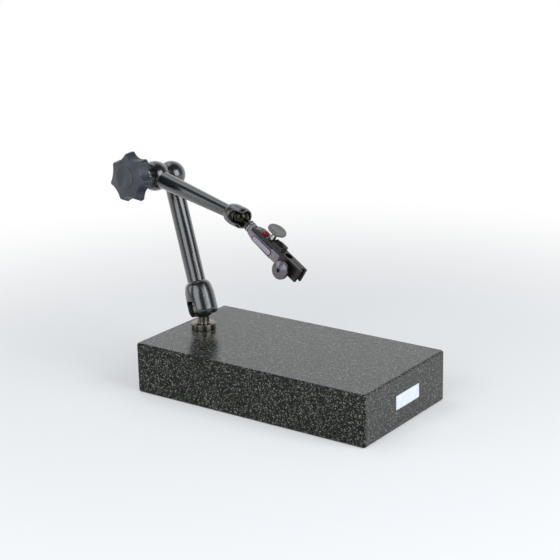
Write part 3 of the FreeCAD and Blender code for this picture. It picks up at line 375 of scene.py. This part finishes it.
def finishes(settings):
    """All materials of the stand, by name."""
    looks = settings.looks
    flange = (LOWER_BALL, np.array((0.0, 0, 1)))
    return {
        "granite": polished_granite(looks),
        # White polypropylene label film, cast and glued on: smooth, slightly glossy, a little wavy.
        "label": coloured("label_film", linear("#dfe4ec"), linear("#eef1f6"), 4, (0.3, 0.4), 0.01,
                          ior=1.49),
        # Gloss black lacquer, sprayed over polished steel and stoved: a deep blue-black mirror
        # that shows the lamps as broad pale bands, with a trace of orange peel.
        "lacquer": coloured("black_stove_lacquer", looks.lacquer, linear("#0c1619"), 2.5, (0.24, 0.3),
                            0.0004, detail=1.0, ior=1.6, coat_weight=1.0, coat_ior=1.6, coat_roughness=0.2),
        # The same lacquer over the cast barrels: browner, with a pale painted highlight along the slot's rim
        # and the other edges.
        "barrel": coloured("black_barrel_lacquer", linear("#0c0a0b"), linear("#191315"), 2.5,
                           (0.22, 0.28), 0.0006, linear("#6a656d"), 0.6, 1.0, ior=1.6,
                           coat_weight=1.0, coat_ior=1.6, coat_roughness=0.18),
        # Blackened steel, milled, blasted and oiled: brown-black, with olive edges that are partly
        # wear and partly a painted highlight.
        "blacking_and_painted_light": coloured("blackened_steel_and_painted_light", linear("#090d0a"), linear("#1d1512"), 1.8, (0.26, 0.4),
                             0.01, linear("#6f7263"), 0.4, ior=1.45, coat_weight=0.2, coat_roughness=0.2),
        # Grey enamel on a zinc die casting: a fine powdery grain that scatters light evenly.
        # Its paler edges are a painted highlight.
        "casting": coloured("grey_enamelled_casting", looks.casting, linear("#7f767d"), 0.7,
                            (0.36, 0.48), 0.02, linear("#a79ea6"), 0.5, ior=1.52),
        # The pressed badge plate has the same enamel, left thin and pale. Its paler rims are a
        # painted highlight.
        "badge": coloured("pale_badge_enamel", linear("#8d8390"), linear("#9d93a0"), 0.9, (0.32, 0.42),
                          0.01, linear("#c0b8c4"), 0.5, ior=1.52),
        # Dark line round the badge: matt, nearly black.
        "line_black": coloured("badge_dark_line", linear("#121014"), linear("#1d1a20"), 0.5, (0.5, 0.6), 0.004, ior=1.5),
        # Glass filled nylon, moulded against a spark eroded tool: blue-grey satin grain. Its darker
        # rims are painted shade.
        "nylon": coloured("moulded_nylon", looks.nylon, linear("#343a43"), 0.6, (0.34, 0.44), 0.02,
                          linear("#14171a"), 0.9, ior=1.53),
        # Acetal, moulded smooth: mid grey with a soft sheen. Its darker rims are painted shade.
        "acetal": coloured("moulded_acetal", linear("#575856"), linear("#676865"), 1.2, (0.32, 0.42), 0.006,
                           linear("#343635"), 0.5, ior=1.48),
        # Red polystyrene, moulded glossy: bright where it domes; the darker red at its foot and rims
        # is painted shade.
        "red": coloured("moulded_red_polystyrene", looks.plug, linear("#b22736"), 1.4, (0.2, 0.3), 0.004,
                        linear("#5e131b"), 0.4, ior=1.59),
        # Free cutting steel, turned and oiled: brownish grey mirror with feed marks.
        "steel": coloured("turned_steel", linear("#6b675e"), linear("#8a8579"), 0.8, (0.18, 0.28), 0.0012,
                          place=flange, metallic=1.0),
        # The same steel for the clamp's disc, turned about its own axis. Its paler rims are a
        # painted highlight.
        "disc": coloured("turned_disc_steel", linear("#605c62"), linear("#777279"), 0.8, (0.24, 0.34),
                         0.0012, linear("#8f8b93"), 0.4, place=(CLAMP_POINT, KNOB_LINE), metallic=1.0),
        # Hardened ball, polished: olive-black mirror, its dark colour partly the steel's own and
        # partly painted shade for the dark socket it reflects.
        "ball": coloured("dark_ball_steel_with_painted_shade", linear("#25241c"), linear("#34332a"), 0.9, (0.16, 0.22),
                         0.0008, place=(UPPER_BALL, STEM_LINE), metallic=1.0),
        # Chromium plate on turned steel: pale and bright.
        "chrome": coloured("chromium_plate", linear("#b4b3a8"), linear("#d0cfc2"), 0.9, (0.08, 0.14), 0.0005,
                           metallic=1.0),
    }


def finish_nodes(material, *names):
    """Gives CAD nodes that stay visible their material."""
    for name in names:
        slots = frame["nodes"][name].material_slots
        if not slots:
            raise RuntimeError(f"{name} has no material slot")
        for slot in slots:
            slot.material = material


# Settings

def length(name, description, millimetres):
    """A length setting, shown in the scene's unit."""
    return FloatProperty(name=name, description=description, default=millimetres * MM,
                         unit="LENGTH", subtype="DISTANCE", min=0.0, precision=5)


def tone(name, description, code):
    """A colour setting, kept linear."""
    return FloatVectorProperty(name=name, description=description, default=linear(code),
                               size=4, subtype="COLOR", min=0.0, max=1.0)


class StandLooks(bpy.types.PropertyGroup):
    """Main colours of the stand."""
    dark: tone("Granite dark", "Darkest grains of the granite", "#080a08")
    middle: tone("Granite middle", "Common grains of the granite", "#1c1f1c")
    # Its tone also paints the highlight along the granite's edges.
    light: tone("Granite light", "Pale grains of the granite", "#3f433f")
    fleck: tone("Granite fleck", "Rare bright flecks of the granite", "#8b8a83")
    lacquer: tone("Lacquer", "Gloss black of the arm", "#05080a")
    casting: tone("Casting", "Grey of the holder body", "#6f676d")
    nylon: tone("Nylon", "Grey of the star knob", "#262b31")
    plug: tone("Plug", "Red of the plug in the lever", "#8f1c29")


class KnobSizes(bpy.types.PropertyGroup):
    """Sizes of the star knob."""
    lobes: IntProperty(name="Lobes", description="Number of lobes around the knob", default=7, min=3, max=12)
    tip: length("Tip radius", "Radius over the lobes at the back", 24.9)
    front: length("Front radius", "Radius over the lobes where the coned face starts", 22.7)
    valley: length("Valley radius", "Radius at the bottom of the scallops, at the back", 20.6)
    scallop: length("Scallop radius", "Radius of each scallop at the back", 14)
    taper: FloatProperty(name="Scallop taper", description="How fast a scallop widens to the front",
                         default=math.radians(13.6), unit="ROTATION", subtype="ANGLE", min=0.0, max=0.7)
    rim: length("Rim rounding", "Rounding of the rims", 0.8)


class HolderSizes(bpy.types.PropertyGroup):
    """Sizes of the holder's turned pieces."""
    ball: length("Upper ball radius", "Radius of the ball that carries the holder", 7.75)
    thumb: length("Thumb knob radius", "Radius of the fine adjustment's knob", 9.3)
    disc: length("Disc radius", "Radius of the clamp's disc", 8.7)
    plug: length("Plug radius", "Radius of the red plug", 3.3)
    badge: length("Badge line", "Width of the dark line round the badge", 0.85)


class StageSettings(bpy.types.PropertyGroup):
    """Floor, light and camera."""
    floor: tone("Floor", "Colour of the floor", "#f4f4f4")
    lamps: FloatProperty(name="Lamps", description="Level of all lamps; 1 is plain", default=1.0, min=0.0)
    lens: FloatProperty(name="Lens", description="Focal length of the camera", default=96.04,
                        subtype="DISTANCE_CAMERA", unit="CAMERA", min=1.0)


class StandSettings(bpy.types.PropertyGroup):
    """Everything a user would change."""
    looks: PointerProperty(type=StandLooks, name="Looks", description="Main colours")
    ball: length("Lower ball radius", "Radius of the ball on the granite", 10.5)
    knob: PointerProperty(type=KnobSizes, name="Knob", description="Sizes of the star knob")
    holder: PointerProperty(type=HolderSizes, name="Holder", description="Sizes of the holder's pieces")
    stage: PointerProperty(type=StageSettings, name="Stage", description="Floor, light and camera")


FINISHES = {}


# Operators

class STAND_OT_finishes(bpy.types.Operator):
    """Makes the materials and gives them to the CAD nodes that stay visible."""
    bl_idname = "stand.finishes"
    bl_label = "Finishes"

    def execute(self, context):
        FINISHES.update(finishes(context.scene.indicator_stand))
        for material, names in (
                ("granite", ("granite_base",)), ("label", ("base_label",)),
                ("steel", ("base_insert", "lower_ball_stud", "lower_ball_cup", "lower_push_rod",
                           "elbow_washer", "clamp_bolt", "upper_push_rod", "pivot_pin", "return_spring",
                           "clamp_washer", "clamp_screw")),
                ("disc", ("clamp_disc",)), ("ball", ("upper_ball_stud",)),
                ("chrome", ("stem_ring", "fine_screw", "knob_nut")),
                ("lacquer", ("lower_tube", "rear_head", "rear_cap", "front_head", "upper_tube",
                             "lower_socket", "knob_washer")),
                ("barrel", ("upper_socket",)),
                ("nylon", ("star_knob", "knob_cap")),
                ("casting", ("holder_body",)), ("badge", ("holder_plate",)),
                # The upper ball cup takes the blackened steel as painted shade for the dark inside of the
                # barrel.
                ("blacking_and_painted_light", ("fine_lever", "stem_nut", "fine_washer", "upper_ball_cup")),
                ("acetal", ("thumb_knob",)), ("red", ("lever_plug",))):
            finish_nodes(FINISHES[material], *names)
        return {"FINISHED"}


class STAND_OT_lower_stud(bpy.types.Operator):
    """Turned stud: thread, flange, neck and ball."""
    bl_idname = "stand.lower_stud"
    bl_label = "Lower ball stud"

    def execute(self, context):
        ball = context.scene.indicator_stand.ball / MM
        foot = np.array([LOWER_BALL[0], LOWER_BALL[1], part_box("granite_base")[1].z / MM])
        level = LOWER_BALL[2] - foot[2]
        start = 180 - math.degrees(math.asin(6 / ball))
        shaft = softened([(-17, 0), (-17, 5, 0.6), (0, 5), (0, 12, 0.5), (6, 12, 0.7), (6, 6, 1.0),
                          (level + ball * math.cos(math.radians(start)), 6)])
        profile = np.vstack([shaft, arc(level, ball, start, 0, 40)[1:]])
        lathe("lower_ball_stud_turned", "post", "steel", ("steel", ["lower_ball_stud"]), foot,
              np.array((0.0, 0, 1)), profile)
        return {"FINISHED"}


class STAND_OT_star_knob(bpy.types.Operator):
    """Star knob and its dished cap."""
    bl_idname = "stand.star_knob"
    bl_label = "Star knob"

    def execute(self, context):
        mesh = knob_mesh(context.scene.indicator_stand.knob)
        put("star_knob_moulded", mesh, "knob", FINISHES["nylon"], "knob_plastic", ["star_knob"])
        inner, sunk = 10.3, 1.9
        hollow = (inner ** 2 + sunk ** 2) / 2 / sunk
        dish = arc(41.3 + hollow, hollow, 180 - math.degrees(math.asin(inner / hollow)), 180, 20)
        profile = np.vstack([softened([(38.6, 0), (38.6, 10.8), (43.2, 10.8, 0.3), (43.2, inner, 0.2),
                                       tuple(dish[1])])[:-1], dish[1:]])
        lathe("knob_cap_moulded", "knob", "nylon", ("knob_plastic", ["knob_cap"]), FRONT_ELBOW, KNOB_LINE,
              profile)
        return {"FINISHED"}


def knob_mesh(knob):
    """Seven lobed solid. At each angle and level the wall's radius is the smooth minimum
    -k log(exp(-a/k) + exp(-b/k)) of the tapered tip circle a and of the near side b of the
    scallop circle, whose centre is fixed and whose radius grows to the front. The wall ends
    where it meets the cone of the face, found by repeating level = front + (radius there -
    wall) / slope; both rims are rounded by the curve (1-s)^2 W + 2 s (1-s) R + s^2 F."""
    tip, front, valley, scallop, rim = (
        size / MM for size in (knob.tip, knob.front, knob.valley, knob.scallop, knob.rim))
    back, edge, crown, cap = 29.6, 39.0, 42.8, 10.8
    slope = (front - cap) / (crown - edge)
    angle = np.linspace(0, 2 * math.pi, knob.lobes * 64, endpoint=False)
    pitch = 2 * math.pi / knob.lobes
    off = (angle - lobe_phase(knob.lobes)) % pitch - pitch / 2
    centre = valley + scallop

    def wall(level):
        """Radius of the side wall at a level, for every angle."""
        circle = scallop + (level - back) * math.tan(knob.taper)
        inside = np.clip(circle ** 2 - (centre * np.sin(off)) ** 2, 0, None)
        near = centre * np.cos(off) - np.sqrt(inside)
        side = tip + (front - tip) * (level - back) / (edge - back)
        blend_size = 0.5
        nearest = np.minimum(near, side + 8)
        both = np.exp((20 - side) / blend_size) + np.exp((20 - nearest) / blend_size)
        return -blend_size * np.log(both) + 20

    top = np.full(angle.shape, edge)
    for _ in range(30):
        top = edge + np.clip(front - wall(top), 0, None) / slope
    circle = np.column_stack([np.cos(angle), np.sin(angle)])
    side, up = square_to(KNOB_LINE)

    def ring(radius, level):
        """Points of one ring in space."""
        flat = np.broadcast_to(radius, angle.shape)[:, None] * circle
        height = np.broadcast_to(level, angle.shape)[:, None]
        return FRONT_ELBOW + flat[:, :1] * side + flat[:, 1:] * up + height * KNOB_LINE

    def rounded(first, corner, last):
        """Rings of a rim between two rings given as radius and level."""
        first, corner, last = np.array(first), np.array(corner), np.array(last)
        return [ring(*((1 - s) ** 2 * first + 2 * s * (1 - s) * corner + s ** 2 * last))
                for s in np.linspace(0, 1, 6)]

    flat = np.full(angle.shape, back)
    rings = [ring(0, 33), ring(7.5, 33), ring(7.5, 20.5), ring(9.6, 20.5), ring(10, 20.9), ring(15.5, back)]
    rings += rounded((wall(flat) - rim, flat), (wall(flat), flat), (wall(flat + rim), flat + rim))
    rings += [ring(wall(flat + share * (top - flat)), flat + share * (top - flat))
              for share in np.linspace(0.15, 0.85, 8)]
    end = wall(top)
    rings += rounded((wall(top - rim), top - rim), (end, top), (end - rim, top + rim / slope))
    rings += [ring(end - rim - share * (end - rim - cap), top + (rim + share * (end - rim - cap)) / slope)
              for share in np.linspace(0.1, 1, 10)]
    rings += [ring(cap, 38.6), ring(0, 38.6)]
    return ring_mesh("star_knob_moulded", np.array(rings), "pole", "pole")


def lobe_phase(lobes):
    """Angle of a lobe's middle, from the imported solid: the mean direction of its outermost
    points, folded into one lobe."""
    vertices = frame["nodes"]["star_knob"].data.vertices
    points = np.empty(len(vertices) * 3, np.float32)
    vertices.foreach_get("co", points)
    away = points.reshape(-1, 3) / MM - FRONT_ELBOW
    side, up = square_to(KNOB_LINE)
    flat = np.column_stack([away @ side, away @ up])
    reach = np.linalg.norm(flat, axis=1)
    far = flat[reach > reach.max() - 0.05]
    angle = np.arctan2(far[:, 1], far[:, 0]) * lobes
    return math.atan2(np.sin(angle).mean(), np.cos(angle).mean()) / lobes


class STAND_OT_upper_stud(bpy.types.Operator):
    """Ball stud of the holder, with its ring."""
    bl_idname = "stand.upper_stud"
    bl_label = "Upper ball stud"

    def execute(self, context):
        ball = context.scene.indicator_stand.holder.ball / MM
        end = math.degrees(math.asin(3.75 / ball))
        profile = np.vstack([arc(0, ball, 180, end, 48), softened([
            (ball * math.cos(math.radians(end)), 3.75), (11.5, 3.75, 0.3), (11.5, 3), (19.8, 3, 0.4),
            (19.8, 0)])[1:]])
        lathe("upper_ball_stud_turned", "stem", "ball", ("chrome", ["upper_ball_stud"]), UPPER_BALL,
              STEM_LINE, profile)
        ring = softened([(15, 3), (15, 5.7, 0.25), (15.9, 5.7, 0.25), (15.9, 3)])
        lathe("stem_ring_turned", "stem", "chrome", ("chrome", ["stem_ring"]), UPPER_BALL, STEM_LINE, ring,
              start="loop", end="loop")
        return {"FINISHED"}


class STAND_OT_badge(bpy.types.Operator):
    """Bare badge plate with round ends, and the dark line round it."""
    bl_idname = "stand.badge"
    bl_label = "Badge plate"

    def execute(self, context):
        line = context.scene.indicator_stand.holder.badge / MM
        middle, half, reach = (38.2, -2.9), 3.2, 9.8
        turn = np.linspace(-math.pi / 2, math.pi * 1.5, 96, endpoint=False)
        along = np.where(np.cos(turn) >= 0, reach, -reach)
        outline = np.column_stack([middle[0] + along + half * np.cos(turn),
                                   middle[1] + half * np.sin(turn)])
        axes = (STEM_LINE, RISE_LINE, KNOB_LINE)
        plate = layered("holder_plate_pressed", UPPER_BALL, axes, outline,
                        [(line, 5.5), (line, 5.95), (line + 0.12, 6.2), (line + 0.4, 6.3)])
        put("holder_plate_pressed", plate, "holder", FINISHES["badge"], "grey_cast", ["holder_plate"])
        border = layered("holder_plate_line", UPPER_BALL, axes, outline,
                         [(0, 5.5), (0, 5.75), (0.1, 5.85), (line - 0.05, 5.85), (line, 5.75), (line, 5.5)],
                         "loop", "loop")
        put("holder_plate_line", border, "holder", FINISHES["line_black"], "grey_cast")
        return {"FINISHED"}


class STAND_OT_holder_knobs(bpy.types.Operator):
    """Thumb knob with its full round edge, turned clamp disc and domed red plug."""
    bl_idname = "stand.holder_knobs"
    bl_label = "Holder knobs"

    def execute(self, context):
        sizes = context.scene.indicator_stand.holder
        thumb, disc, plug = (size / MM for size in (sizes.thumb, sizes.disc, sizes.plug))
        edge = 1.9
        full = arc(16.9, edge, 180, 0, 16)
        full[:, 1] += thumb - edge
        radius = np.linspace(thumb - edge, 0, 12)[1:]
        dish = np.column_stack([18.8 - 0.6 * (1 - (radius / (thumb - edge)) ** 2), radius])
        profile = np.vstack([softened([(16.9, 0), (16.9, 2.6), (12.6, 2.6), (12.6, 4.2, 0.4), (15, 4.2, 0.5),
                                       tuple(full[0])]), full[1:], dish])
        lathe("thumb_knob_moulded", "fine_knob", "acetal", ("grey_plastic", ["thumb_knob"]), FINE_POINT,
              RISE_LINE, profile)
        profile = softened([(6.5, 1.75), (6.5, 3.1, 0.2), (8.1, 3.1, 0.3), (10, disc, 0.4), (13, disc, 0.5),
                            (14.6, 3, 0.4), (14.6, 1.9, 0.2), (11.6, 1.9), (11.6, 1.75)])
        lathe("clamp_disc_turned", "clamp_knob", "disc", ("steel", ["clamp_disc"]), CLAMP_POINT, KNOB_LINE,
              profile, start="loop", end="loop")
        foot = UPPER_BALL + 32.8 * STEM_LINE
        rise = 1.4
        bulge = (plug ** 2 + rise ** 2) / 2 / rise
        dome = arc(8.9 - bulge, bulge, math.degrees(math.asin(plug / bulge)), 0, 16)
        profile = np.vstack([[(4.6, 0), (4.6, plug)], dome])
        lathe("lever_plug_moulded", "lever", "red", ("red_plastic", ["lever_plug"]), foot, RISE_LINE,
              profile)
        return {"FINISHED"}


class STAND_OT_stage(bpy.types.Operator):
    """Pale floor, soft lamps, world and camera."""
    bl_idname = "stand.stage"
    bl_label = "Stage"

    def execute(self, context):
        stage = context.scene.indicator_stand.stage
        make_floor(stage)
        make_light(context.scene, stage)
        make_camera(context.scene, stage)
        return {"FINISHED"}


def seen_rays(tree):
    """1 for camera, glossy and transmission rays, and 0 for the rays that carry the light."""
    path = add(tree, "ShaderNodeLightPath")
    seen = path.outputs["Is Camera Ray"]
    for kind in ("Is Glossy Ray", "Is Transmission Ray"):
        total = add(tree, "ShaderNodeMath", operation="MAXIMUM")
        tree.links.new(seen, total.inputs[0])
        tree.links.new(path.outputs[kind], total.inputs[1])
        seen = total.outputs["Value"]
    return seen


def make_floor(stage):
    """Flat floor round the object. It is a plain pale floor near the object, with its shadow;
    from 0.25 to 0.8 metres out it passes into plain white for the camera, and for reflected
    and transmitted rays."""
    half = 8.0
    mesh = bpy.data.meshes.new("floor")
    corners = [(-half, -half, 0), (half, -half, 0), (half, half, 0), (-half, half, 0)]
    mesh.from_pydata(corners, [], [(0, 1, 2, 3)])
    floor = bpy.data.objects.new("floor", mesh)
    bpy.context.scene.collection.objects.link(floor)
    material, tree, shader = finish_of("painted_floor", roughness=0.9, base_color=stage.floor)
    shader.inputs["Emission Color"].default_value = (1, 1, 1, 1)
    distance = add(tree, "ShaderNodeVectorMath", {"Vector": object_place(tree)}, operation="LENGTH")
    outside = add(tree, "ShaderNodeMapRange", {"Value": distance.outputs["Value"]},
                  from_min=0.25, from_max=0.8, to_min=0.25, to_max=1.0, interpolation_type="SMOOTHSTEP")
    amount = add(tree, "ShaderNodeMath", operation="MULTIPLY")
    tree.links.new(seen_rays(tree), amount.inputs[0])
    tree.links.new(outside.outputs["Result"], amount.inputs[1])
    white = add(tree, "ShaderNodeEmission", strength=1.0)
    both = add(tree, "ShaderNodeMixShader")
    tree.links.new(amount.outputs["Value"], both.inputs[0])
    tree.links.new(shader.outputs["BSDF"], both.inputs[1])
    tree.links.new(white.outputs["Emission"], both.inputs[2])
    tree.links.new(both.outputs["Shader"], tree.nodes["Material Output"].inputs["Surface"])
    mesh.materials.append(material)


def make_light(scene, stage):
    """World as even fill, with a white backdrop behind the object for the camera and for
    reflected rays, and large soft boxes: one low in front on the left, one low on the
    right, one overhead and a small one far left, so that dark gloss shows broad bands."""
    world = bpy.data.worlds.new("studio")
    scene.world = world
    world.use_nodes = True
    tree = world.node_tree
    background = tree.nodes["Background"]
    background.inputs["Color"].default_value = (0.96, 0.98, 1, 1)
    outlook = add(tree, "ShaderNodeTexCoord")
    split = add(tree, "ShaderNodeVectorMath", {"Vector": outlook.outputs["Generated"]},
                operation="DOT_PRODUCT")
    split.inputs[1].default_value = (-0.58, 0.81, -0.35)
    amount = add(tree, "ShaderNodeMapRange", {"Value": split.outputs["Value"]}, from_min=0.05, from_max=0.45,
                 to_min=0.1, to_max=1.0, interpolation_type="SMOOTHSTEP")
    tree.links.new(blend(tree, seen_rays(tree), grey(0.32), amount.outputs["Result"]),
                   background.inputs["Strength"])
    for name, turn, lift, away, size, level in (
            ("front_box", 4, 27, 1.5, (1.0, 1.1), 2.8),
            ("right_box", 89, 27, 1.5, (1.0, 1.1), 4.4),
            ("left_box", -48, 20, 1.7, (0.6, 0.9), 2.6),
            ("top_box", -100, 66, 1.6, (0.8, 0.7), 1.6)):
        lamp = bpy.data.lights.new(name, "AREA")
        lamp.shape, lamp.size, lamp.size_y = "RECTANGLE", size[0], size[1]
        lamp.color = (0.88, 0.94, 1.0)
        lamp.energy = level * math.pi * size[0] * size[1] * stage.lamps
        holder = bpy.data.objects.new(name, lamp)
        scene.collection.objects.link(holder)
        side, up = math.radians(turn), math.radians(lift)
        toward = Vector((math.sin(side) * math.cos(up), -math.cos(side) * math.cos(up), math.sin(up)))
        holder.location = Vector((-0.06, 0, 0.1)) + away * toward
        holder.rotation_mode = "QUATERNION"
        holder.rotation_quaternion = toward.to_track_quat("Z", "Y")


def make_camera(scene, stage):
    """Camera solved from the block's corners: direction, roll and offset of the optical axis."""
    turn, lift, roll = (math.radians(angle) for angle in (35.729, 16.976, -1.187))
    back = Vector((math.sin(turn) * math.cos(lift), -math.cos(turn) * math.cos(lift), math.sin(lift)))
    right = Vector((math.cos(turn), math.sin(turn), 0))
    up = back.cross(right)
    right, up = (math.cos(roll) * right + math.sin(roll) * up,
                 math.cos(roll) * up - math.sin(roll) * right)
    eye = (back * 1432.99 - right * 8.756 + up * 110.767) * MM
    lens = bpy.data.cameras.new("camera")
    lens.sensor_width, lens.lens = 36.0, stage.lens
    lens.clip_start, lens.clip_end = 0.05, 20.0
    camera = bpy.data.objects.new("camera", lens)
    scene.collection.objects.link(camera)
    camera.matrix_world = Matrix((
        (right.x, up.x, back.x, eye.x), (right.y, up.y, back.y, eye.y),
        (right.z, up.z, back.z, eye.z), (0, 0, 0, 1)))
    scene.camera = camera
    scene.view_settings.view_transform = "Standard"


class STAND_PT_sidebar(bpy.types.Panel):
    """Buttons and settings of the stand."""
    bl_label = "Indicator stand"
    bl_space_type = "VIEW_3D"
    bl_region_type = "UI"
    bl_category = "Stand"

    def draw(self, context):
        settings = context.scene.indicator_stand
        self.layout.prop(settings, "ball")
        for group in (settings.looks, settings.knob, settings.holder, settings.stage):
            box = self.layout.box()
            for name in group.__annotations__:
                box.prop(group, name)
        for operator in OPERATORS:
            self.layout.operator(operator.bl_idname)


GROUPS = (StandLooks, KnobSizes, HolderSizes, StageSettings, StandSettings)
OPERATORS = (STAND_OT_finishes, STAND_OT_lower_stud, STAND_OT_star_knob, STAND_OT_upper_stud,
             STAND_OT_badge, STAND_OT_holder_knobs, STAND_OT_stage)


def register():
    """Registers the settings, the operators and the panel."""
    for item in (*GROUPS, *OPERATORS, STAND_PT_sidebar):
        bpy.utils.register_class(item)
    bpy.types.Scene.indicator_stand = PointerProperty(type=StandSettings)


def unregister():
    """Takes them out again."""
    del bpy.types.Scene.indicator_stand
    for item in reversed((*GROUPS, *OPERATORS, STAND_PT_sidebar)):
        bpy.utils.unregister_class(item)


def main():
    """Builds the whole scene."""
    register()
    bpy.ops.stand.finishes()
    bpy.ops.stand.lower_stud()
    bpy.ops.stand.star_knob()
    bpy.ops.stand.upper_stud()
    bpy.ops.stand.badge()
    bpy.ops.stand.holder_knobs()
    bpy.ops.stand.stage()


if __name__ == "__main__":
    main()
